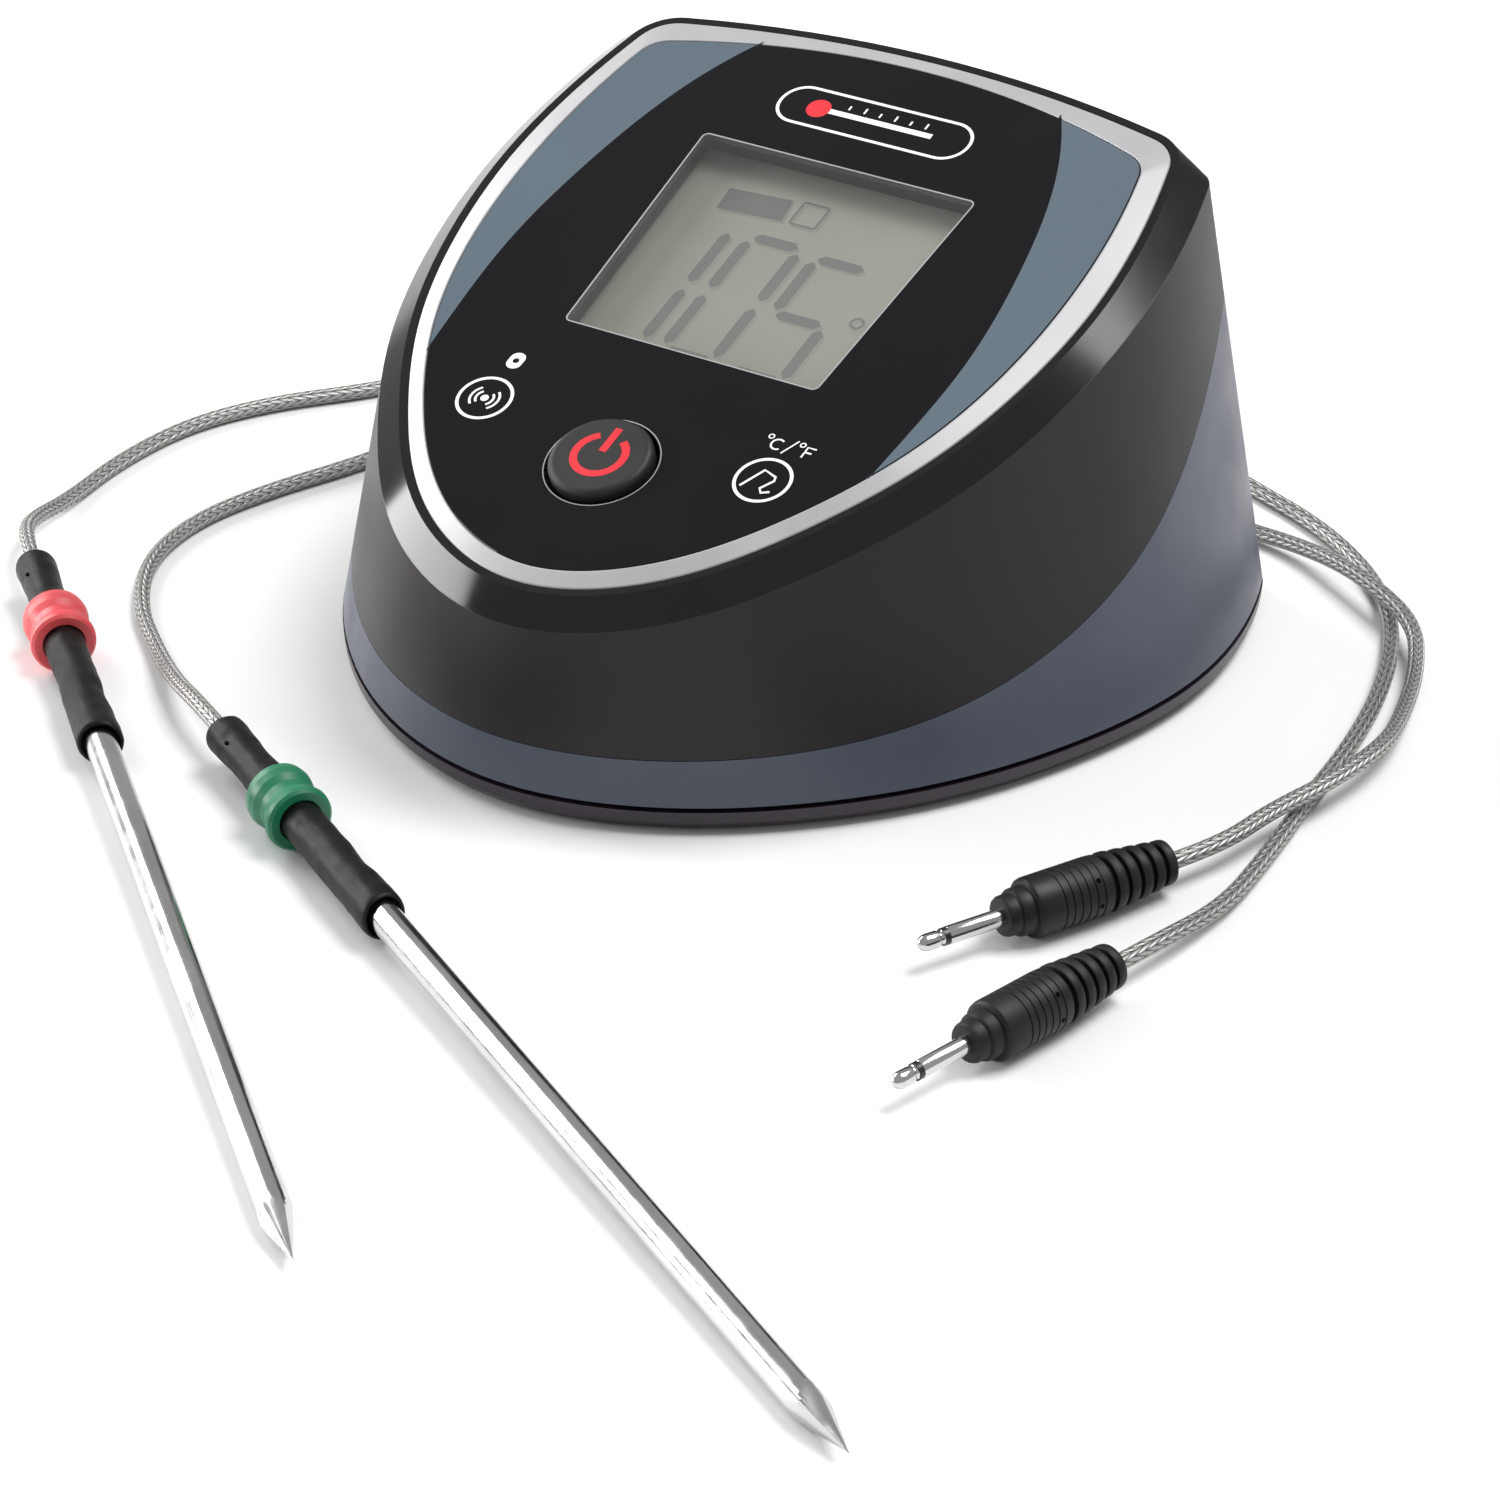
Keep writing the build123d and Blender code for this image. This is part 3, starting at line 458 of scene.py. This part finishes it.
def face_outwards(made):
    """Turns every face of a closed piece outwards."""
    work = bmesh.new()
    work.from_mesh(made.data)
    bmesh.ops.recalc_face_normals(work, faces=work.faces)
    work.to_mesh(made.data)
    work.free()
    return made


def rings(name, loops, look, slot, **more):
    """Skin over closed loops of (loop, height) in the face's plane, the last joined to the first."""
    count = len(loops[0][0])
    vertices = [on_face(u, v, height) for loop, height in loops for u, v in loop]
    faces = []
    for k in range(len(loops)):
        low, high = k * count, (k + 1) % len(loops) * count
        for i in range(count):
            j = (i + 1) % count
            faces.append((low + i, low + j, high + j, high + i))
    return make(name, vertices, faces, look, slot, **more)


def plate(name, loops, top, bottom, look, slot, chamfer=0.0, **more):
    """A flat plate in the face's plane; the first loop is its outline, the others are holes."""
    tops = []
    for k, loop in enumerate(loops):
        tops.append(inset(loop, chamfer if k == 0 else -chamfer) if chamfer else np.array(loop, float))
    vertices, faces = [], []
    for loop in tops:
        vertices += [on_face(u, v, top) for u, v in loop]
    flat = [[Vector((u, v, 0)) for u, v in loop] for loop in tops]
    for tri in geometry.tessellate_polygon(flat):
        faces.append(tuple(tri))
    start = 0
    for loop, inner in zip(loops, tops):
        count = len(loop)
        rows = [start]
        for edge, height in ((loop, top - chamfer), (loop, bottom)):
            rows.append(len(vertices))
            vertices += [on_face(u, v, height) for u, v in edge]
        for low, high in zip(rows, rows[1:]):
            for i in range(count):
                j = (i + 1) % count
                faces.append((low + i, low + j, high + j, high + i))
        start += count
    return face_outwards(make(name, vertices, faces, look, slot, **more))


def stroke(points, width, closed=False):
    """The outline loop, or the two loops of a closed line, of a pen stroke along the points."""
    points = np.array(points, float)
    if closed:
        return [inset(points, -width / 2), inset(points, width / 2)]
    ahead = np.gradient(points, axis=0)
    ahead /= np.hypot(*ahead.T)[:, None]
    normal = np.c_[ahead[:, 1], -ahead[:, 0]] * width / 2
    cap = ahead[[0, -1]] * width / 2
    ends = points.copy()
    ends[0] -= cap[0] * 0.5
    ends[-1] += cap[1] * 0.5
    return [np.vstack([ends + normal, (ends - normal)[::-1]])]


def arc(u, v, radius, start, end, count=20):
    """Points along an arc; its angles are in degrees."""
    angles = np.radians(np.linspace(start, end, count))
    return np.c_[u + radius * np.cos(angles), v + radius * np.sin(angles)]


face_outer = shield(FACE_SIDE, FACE_REAR, FACE_CORNER)
face_inner = shield(INNER_SIDE, INNER_REAR, INNER_CORNER)
band = [(face_outer, FACE_BOTTOM), (face_outer, TRIM_FALL - 0.15),
        (inset(face_outer, 0.15), TRIM_FALL + 0.03), (inset(face_inner, -0.25), TRIM_RISE),
        (inset(face_inner, -0.08), TRIM_RISE), (face_inner, TRIM_RISE - 0.1), (face_inner, FACE_BOTTOM)]
rings("silver_border", band, SILVER, "trim_silver", smooth=12, replaces=["silver_trim"])

opening = rounded(WINDOW, 0.8)
key_hole = circle(0, BUTTON_V, KEY_HOLE_R)
lens_edge = inset(face_inner, 0.03)
plate("lens_plate", [lens_edge, opening, key_hole], LENS_TOP, FACE_BOTTOM, LENS_BLACK, "lens_black",
      chamfer=0.12, replaces=["face_lens"])
plate("window_pane", [inset(opening, 0.01)], LENS_TOP - 0.05, -0.6, PANE, "lens_black")
# painted highlight: a grey line round the window's opening stands in for light caught on the lens's bevelled
# edge
window_highlight_line = stroke(inset(opening, -0.12), 0.2, True)
plate("window_edge_highlight", window_highlight_line, PRINT_TOP, FIELD_BOTTOM, SEAM_GREY_AND_PAINTED_HIGHLIGHT, "lens_black")

# printed crescents between the border and the black field
edge_at, edge_curve = spline_through(FIELD_SIDE)
field_edge = edge_curve(np.linspace(0, edge_at[-1], 50))
rim = inset(face_inner, 0.2)
rim = rim[rim[:, 0] > 0]
rim = rim[np.argsort(np.arctan2(rim[:, 1] + 5, rim[:, 0]))]  # from the nose to the rear
rim = rim[(rim[:, 1] > -33.2) & ((rim[:, 0] > 25.2) | (rim[:, 1] < 20))]
crescent = np.vstack([rim, field_edge[::-1]])
for name, side in (("right", 1), ("left", -1)):
    loop = crescent if side == 1 else crescent[::-1] * (-1, 1)
    plate(f"crescent_{name}", [loop], PRINT_TOP, FIELD_BOTTOM, SLATE, "lens_black")


def pad_signs():
    """Rings round the two touch pads, radio waves in the left one and a bent probe in the right one."""
    made = [stroke(circle(*pad, PAD_R), 0.5, True) for pad in (LEFT_PAD, RIGHT_PAD)]
    made.append([circle(*LEFT_PAD, 0.62, 24)])
    for radius in (1.35, 2.2):
        for start in (-48, 132):
            made.append(stroke(arc(*LEFT_PAD, radius, start, start + 96), 0.36))
    bent_probe = [(20.8, -40.3), (22.6, -36.6), (24.7, -37.3), (24.9, -38.0), (23.7, -39.9), (24.3, -40.6),
                  (25.3, -40.1)]
    made.append(stroke(bent_probe, 0.38))
    return made


def radio_sign():
    """A plain oval with a dot, over the left pad."""
    oval = rounded([(-24.3, -32.0), (-21.9, -32.0), (-21.9, -28.8), (-24.3, -28.8)], 1.15)
    return [[oval, circle(-23.1, -30.4, 0.5, 20)]]


def unit_sign():
    """Degrees C or F, over the right pad."""
    return [stroke(circle(20.0, -30.6, 0.38, 20), 0.2, True), stroke(arc(21.6, -31.7, 0.95, 55, 305), 0.28),
            stroke([(22.9, -33.0), (24.2, -30.2)], 0.24), stroke(circle(25.1, -30.6, 0.38, 20), 0.2, True),
            stroke([(26.0, -32.7), (26.0, -30.75), (27.3, -30.75)], 0.28),
            stroke([(26.0, -31.7), (27.0, -31.7)], 0.28)]


def name_plate():
    """A plain outlined pill with a thermometer's column and its ticks."""
    pill = rounded([(-16.0, 27.0), (16.0, 27.0), (16.0, 34.6), (-16.0, 34.6)], 3.75, 14)
    made = [stroke(pill, 0.5, True), stroke([(-7.5, 30.8), (9.5, 30.8)], 1.0)]
    for k in range(6):
        u, tick_end = -5.0 + 2.6 * k, 33.0 if k % 2 else 32.7
        made.append(stroke([(u, 32.0), (u, tick_end)], 0.3))
    return made


for k, loops in enumerate(pad_signs() + radio_sign() + unit_sign() + name_plate()):
    plate(f"print_{k:02d}", loops, PRINT_TOP, PRINT_BOTTOM, PRINT_WHITE, "lens_black")
plate("print_bulb", [circle(-9.5, 30.8, 1.9, 40)], LENS_TOP + 0.013, PRINT_BOTTOM, PRINT_RED, "lens_black")

# seam round the button
seam = stroke(circle(0, BUTTON_V, 8.3), 0.16, True)
plate("button_seam", seam, PRINT_TOP, PRINT_BOTTOM, SEAM_GREY_AND_PAINTED_HIGHLIGHT, "lens_black")

# power sign on the button's cap
power_ring = stroke(arc(0, BUTTON_V, 3.7, 125, 415, 60), 1.15)
power_bar = stroke([(0, BUTTON_V + 0.9), (0, BUTTON_V + 5.0)], 1.15)
for name, loops in (("ring", power_ring), ("bar", power_bar)):
    plate(f"button_sign_{name}", loops, BUTTON_TOP + 0.02, BUTTON_TOP - 0.05, PRINT_RED, "button_rubber",
          ride="main_button")


def bar(start, end, width=1.8):
    """One segment of a digit, with pointed ends."""
    start, end = np.array(start, float), np.array(end, float)
    ahead = (end - start) / np.linalg.norm(end - start)
    side = np.array((ahead[1], -ahead[0])) * width / 2
    a, b = start + ahead * width / 2, end - ahead * width / 2
    return [np.array([start, a + side, b + side, end, b - side, a - side])]


def display():
    """The display's bars and marks: three digits, a degree ring, and two boxes over them."""
    made = [bar((-11.2, 6.7), (-11.2, -4.2)), bar((-11.2, -5.8), (-11.2, -16.4))]
    for u in (-7.6, 0.8):
        made += [bar((u, 6.2), (u, -4.2)), bar((u, -5.8), (u, -16.4))]
    made += [bar((-7.2, 7.2), (0.4, 7.2)), bar((-7.2, -17.4), (0.4, -17.4))]
    made += [bar((4.2, 6.3), (12.0, 6.3)), bar((4.0, 5.6), (4.0, -5.0)), bar((4.4, -5.7), (12.0, -5.7)),
             bar((12.4, -6.4), (12.4, -16.8)), bar((4.4, -17.6), (12.0, -17.6))]
    made.append(stroke(circle(16.6, -3.4, 0.95, 28), 0.4, True))
    made.append([np.array([(-15.9, 10.8), (-5.1, 11.5), (-5.7, 15.9), (-16.3, 15.2)])])
    made.append(stroke(rounded([(-3.9, 11.6), (0.4, 11.6), (0.4, 16.2), (-3.9, 16.2)], 0.4, 3), 0.4, True))
    return made


SHADE_SHIFT = (0.55, -0.45)  # each bar throws a faint shade on the panel behind the glass
for k, loops in enumerate(display()):
    shadow = [loop + SHADE_SHIFT for loop in loops]
    plate(f"segment_shade_{k:02d}", shadow, GLASS_TOP + 0.01, GLASS_TOP - 0.05, LCD_SHADE, "lcd_glass")
    plate(f"segment_{k:02d}", loops, GLASS_TOP + 0.02, GLASS_TOP - 0.05, LCD_INK, "lcd_glass")


# ---- turned pieces of the probes and plugs ---------------------------------------------------------
def turned(name, profile, place, look, slot, ride, replaces, shape=None, sides=96, smooth=35):
    """A turned piece from (distance, radius) points; shape(x, angle, radius) may bend each vertex."""
    vertices, faces = [], []
    for x, radius in profile:
        for k in range(sides):
            angle = 2 * math.pi * k / sides
            at, r = shape(x, angle, radius) if shape else (x, radius)
            vertices.append(place @ (Vector((at, r * math.cos(angle), r * math.sin(angle))) * MM))
    for row in range(len(profile) - 1):
        for k in range(sides):
            a, b = row * sides + k, row * sides + (k + 1) % sides
            faces.append((a, b, b + sides, a + sides))
    faces.append(tuple(range(sides - 1, -1, -1)))
    last = (len(profile) - 1) * sides
    faces.append(tuple(range(last, last + sides)))
    made = make(name, vertices, faces, look, slot, smooth=smooth, ride=ride, replaces=replaces)
    return face_outwards(made)


def smoothed(points, step=0.35):
    """More points along a profile, rounding its corners a little."""
    points = np.array(points, float)
    at = np.r_[0, np.cumsum(np.hypot(*np.diff(points, axis=0).T))]
    fine = np.linspace(0, at[-1], max(3, round(at[-1] / step)))
    line = np.c_[np.interp(fine, at, points[:, 0]), np.interp(fine, at, points[:, 1])]
    for _ in range(2):
        line[1:-1] = (line[:-2] + 2 * line[1:-1] + line[2:]) / 4
    return line


def bell(x, middle, width):
    """One at the middle, falling to nothing a few widths away."""
    return math.exp(-((x - middle) / width) ** 2)


def turn_between(a, b):
    """The signed angle from b to a, at most half a turn."""
    return (a - b + math.pi) % (2 * math.pi) - math.pi


def sleeve_shape(seed):
    """Shrink sleeve: oblique cut on the needle, pinched beside the ring, gentle waves."""
    start, end, least = NEEDLE_VISIBLE, HANDLE_END, 2.72  # the ferrule inside is 2.6 in radius

    def dent(x, angle, depth, middle, width, towards_angle, spread):
        return depth * bell(x, middle, width) * bell(turn_between(angle, towards_angle), 0, spread)

    def shape(x, angle, radius):
        if radius < 2.5 and x < start + 2:
            return x, radius
        cut = 0.7 * math.cos(angle - 0.8 - seed) * max(0.0, 1 - (x - start) / 4)
        wave = 0.05 * math.sin(x * 0.55 + 2 * angle + seed) + 0.04 * math.sin(x * 0.9 - 3 * angle + 2 * seed)
        dents = dent(x, angle, 0.45, start + 20, 3.2, 0.35 + 0.3 * seed, 0.7)
        dents += dent(x, angle, 0.35, start + 12, 2.6, 2.6, 0.8)
        dents += dent(x, angle, 0.35, end - 7, 2.4, 0.6, 0.9)
        neck = 0.28 * bell(x, end - 10, 3.5)
        soft = 0.1 + abs(math.sin(0.5 * angle + seed)) * 0.05
        low = min(1.0, (end - x) / 3)
        rim = 0.25 * math.cos(angle + seed) * bell(x, end, 1.0)
        shrunk = radius - soft * low - abs(wave) - dents - neck
        return x + cut + rim, max(min(radius, least), shrunk)

    return shape


def point_shape(start_angle):
    """Needle point ground with three flats."""
    def shape(x, angle, radius):
        if x >= TIP_LENGTH + 4:
            return x, radius
        flats = [math.cos(turn_between(angle, start_angle + k * 2 * math.pi / 3)) for k in range(3)]
        ridge = 1 + 0.35 * (1 / max(0.5, max(flats)) - 1)
        return x, max(0.06, min(NEEDLE_R, x * NEEDLE_R / TIP_LENGTH * ridge))
    return shape


def boot_profile():
    """Plug boot from its cable end: five flexing ribs, a collar, six fine grooves, a stepped nose."""
    made = [(0.0, 1.7), (0.0, 2.4)]
    for rib in range(5):
        x, r = 0.15 + 2.2 * rib, 3.15 + 0.24 * rib
        made += [(x, r - 0.35), (x + 0.2, r - 0.08), (x + 0.55, r), (x + 1.2, r + 0.03), (x + 1.5, r - 0.1),
                 (x + 1.6, r - 0.75), (x + 2.1, r - 0.75)]
    made += [(11.2, 3.95), (11.4, 4.12), (12.2, 4.18)]
    for groove in range(6):
        x = 12.9 + 1.25 * groove
        made += [(x - 0.16, BOOT_R), (x - 0.1, 4.06), (x + 0.1, 4.06), (x + 0.16, BOOT_R)]
    made += [(22.2, BOOT_R), (22.7, 4.1), (23.0, 3.85), (23.1, 3.6), (23.15, 3.35), (24.7, 3.3), (25.0, 3.15),
             (25.1, 2.85), (26.5, 2.8), (26.9, 2.6), (27.0, 2.3), (27.0, 1.4)]
    return made


# plug pieces: distance from the cable end of the boot, radius
BOOT_PROFILE = boot_profile()
JACK_SLEEVE = [(26.9, 1.2), (26.9, 1.25), (35.3, 1.25), (35.4, 1.18)]
JACK_RING = [(35.4, 1.0), (35.4, 1.22), (36.2, 1.22), (36.2, 1.0)]
JACK_TIP = [(36.2, 1.0), (36.3, 0.9), (36.7, 0.88), (36.85, 1.1), (37.1, 1.18), (38.6, 1.18), (39.0, 1.12),
            (39.4, 0.95), (39.7, 0.7), (39.9, 0.42), (40.0, 0.15)]
# probe pieces: distance from the needle's point, radius
SLEEVE_WALL = [(NEEDLE_VISIBLE + 1.6, 2.3), (NEEDLE_VISIBLE + 0.6, 2.45), (NEEDLE_VISIBLE + 0.05, 2.85),
               (NEEDLE_VISIBLE, 3.15), (NEEDLE_VISIBLE + 0.25, 3.38), (NEEDLE_VISIBLE + 1.2, 3.45),
               (NEEDLE_VISIBLE + 3, 3.42), (NEEDLE_VISIBLE + 6, 3.3), (NEEDLE_VISIBLE + 14, 3.24),
               (NEEDLE_VISIBLE + 20, 3.13), (HANDLE_END - 2.5, 3.13), (HANDLE_END - 1.0, 3.1),
               (HANDLE_END - 0.45, 3.0), (HANDLE_END - 0.12, 2.75), (HANDLE_END, 2.3), (HANDLE_END, 1.3)]
SHAFT = [(x, NEEDLE_R) for x in (0.02, 0.6, 1.2, *range(2, 16), 60, NEEDLE_VISIBLE + 2)]
QUARTER = Matrix.Rotation(math.pi / 2, 4, "Z")


def paint_hole_shade(name, place, angle, along, out, profile, slot, body):
    """Painted shade of a small moulding hole: a black disc on the side of a turned piece, angle round it from
    its own Y axis.
    """
    spot = place @ Matrix.Rotation(angle, 4, "X") @ Matrix.Translation(Vector((along, out, 0)) * MM)
    turned(name, profile, spot @ QUARTER, HOLE_SHADE_PAINT, slot, body, [], sides=24)


def dress_plug(colour):
    """The moulded boot and the three contacts of one plug."""
    body, plug = f"{colour}_probe", plug_frame(colour)
    turned(f"{colour}_boot", BOOT_PROFILE, plug, BOOT, "boot_black", body, [f"{colour}_plug_boot"], smooth=28)
    turned(f"{colour}_jack_sleeve", JACK_SLEEVE, plug, JACK, "jack_steel", body, [f"{colour}_plug_sleeve"])
    turned(f"{colour}_jack_ring", JACK_RING, plug, INSULATOR, "insulator", body, [f"{colour}_plug_insulator"])
    turned(f"{colour}_jack_tip", JACK_TIP, plug, JACK, "jack_steel", body, [f"{colour}_plug_tip"], smooth=50)
    # discs of painted shade where the boot's two moulding holes are
    for side, angle in (("upper", 0.75), ("lower", -0.12)):
        paint_hole_shade(f"{colour}_boot_hole_shade_{side}", plug, angle, 13.5, 4.19, [(-0.1, 0.36), (0.02, 0.36)],
                      "boot_black", body)


def dress_probe(colour, seed):
    """The shrink sleeve and the ground needle of one probe."""
    body, probe = f"{colour}_probe", probe_frame(colour)
    turned(f"{colour}_sleeve", smoothed(SLEEVE_WALL), probe, SLEEVE, "shrink_sleeve", body,
           [f"{colour}_handle"], shape=sleeve_shape(1.4 * seed))
    # a disc of painted shade where the sleeve's moulding hole is
    paint_hole_shade(f"{colour}_sleeve_hole_shade", probe, 0.75, HANDLE_END - 6.0, 2.93, [(-0.3, 0.3), (0.02, 0.3)],
                  "shrink_sleeve", body)
    turned(f"{colour}_shaft", SHAFT, probe, NEEDLE, "needle_steel", body, [f"{colour}_needle"],
           shape=point_shape(0.9 + seed), smooth=12)


for seed, colour in enumerate(("red", "green")):
    dress_plug(colour)
    dress_probe(colour, seed)

cord("red", RED_TO_COIL, RED_TO_PLUG)
cord("green", GREEN_TO_COIL, GREEN_TO_PLUG)

# ---- CAD nodes keep their shape and get their material ---------------------------------------------
CAD_MATERIALS = [
    (SHELL_GLOSS, "front_cover"), (SHELL_SATIN, "rear_cover battery_door"), (BASE_SATIN, "base_plate"),
    (MAT_RUBBER, "base_mat"), (SILVER, "silver_trim"), (LENS_BLACK, "face_lens"),
    (BUTTON_RUBBER, "main_button"), (LCD_PANEL, "lcd_glass"), (LEAD, "battery_leads socket_leads"),
    (CELL, "battery_cell_lower battery_cell_upper"),
    (INNER, "switch_plunger button_switch lcd_backlight lcd_frame lcd_zebra_strips touch_pads battery_tray"),
    (STEEL_SCREW, "base_screws board_screws socket_screws radio_module battery_contacts battery_springs"),
    (BOARD, "main_board socket_board"), (CHIP, "controller_chip buzzer"),
    (SOCKET, "jack_socket_left jack_socket_right"), (RING_RED, "red_id_ring"), (RING_GREEN, "green_id_ring"),
]
PROBE_MATERIALS = [
    (NEEDLE, "needle"), (BEAD, "thermistor"), (STEEL_SCREW, "ferrule"), (SLEEVE, "handle"), (TIE, "coil_tie"),
    (BOOT, "plug_boot"), (JACK, "plug_sleeve plug_tip"), (INSULATOR, "plug_insulator"),
]
for colour in ("red", "green"):
    for look, parts in PROBE_MATERIALS:
        CAD_MATERIALS.append((look, " ".join(f"{colour}_{part}" for part in parts.split())))
for look, names in CAD_MATERIALS:
    for name in names.split():
        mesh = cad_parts[name].data
        mesh.materials.clear()
        mesh.materials.append(look)

# ---- stage ----------------------------------------------------------------------------------------
floor_mesh = bpy.data.meshes.new("floor")
floor_mesh.from_pydata([(-4, -4, 0), (4, -4, 0), (4, 4, 0), (-4, 4, 0)], [], [(0, 1, 2, 3)])
floor = bpy.data.objects.new("floor", floor_mesh)
bpy.context.collection.objects.link(floor)
floor_mesh.materials.append(plain("floor", (0.86, 0.86, 0.86), 0.6, spread=0.004, patch=0.5, relief=0.0))
floor.location.z = -0.00005

world = bpy.data.worlds.new("studio")
bpy.context.scene.world = world
world.use_nodes = True
world.node_tree.nodes["Background"].inputs["Color"].default_value = (1, 1, 1, 1)
world.node_tree.nodes["Background"].inputs["Strength"].default_value = 0.42


def softbox(name, place, aim, size, power):
    light = bpy.data.lights.new(name, "AREA")
    light.shape, light.size, light.size_y, light.energy = "RECTANGLE", size[0], size[1], power
    made = bpy.data.objects.new(name, light)
    made.location = place
    made.rotation_mode = "QUATERNION"
    made.rotation_quaternion = (Vector(aim) - Vector(place)).to_track_quat("-Z", "Y")
    bpy.context.collection.objects.link(made)


softbox("key", (-1.45, 0.15, 0.92), (0, 0, 0), (0.85, 0.8), 17)
softbox("side", (-1.25, -0.5, 0.32), (0, 0, 0.04), (1.0, 0.34), 13)
softbox("overhead", (0.55, 0.55, 1.6), (0, -0.05, 0), (1.0, 1.0), 30)
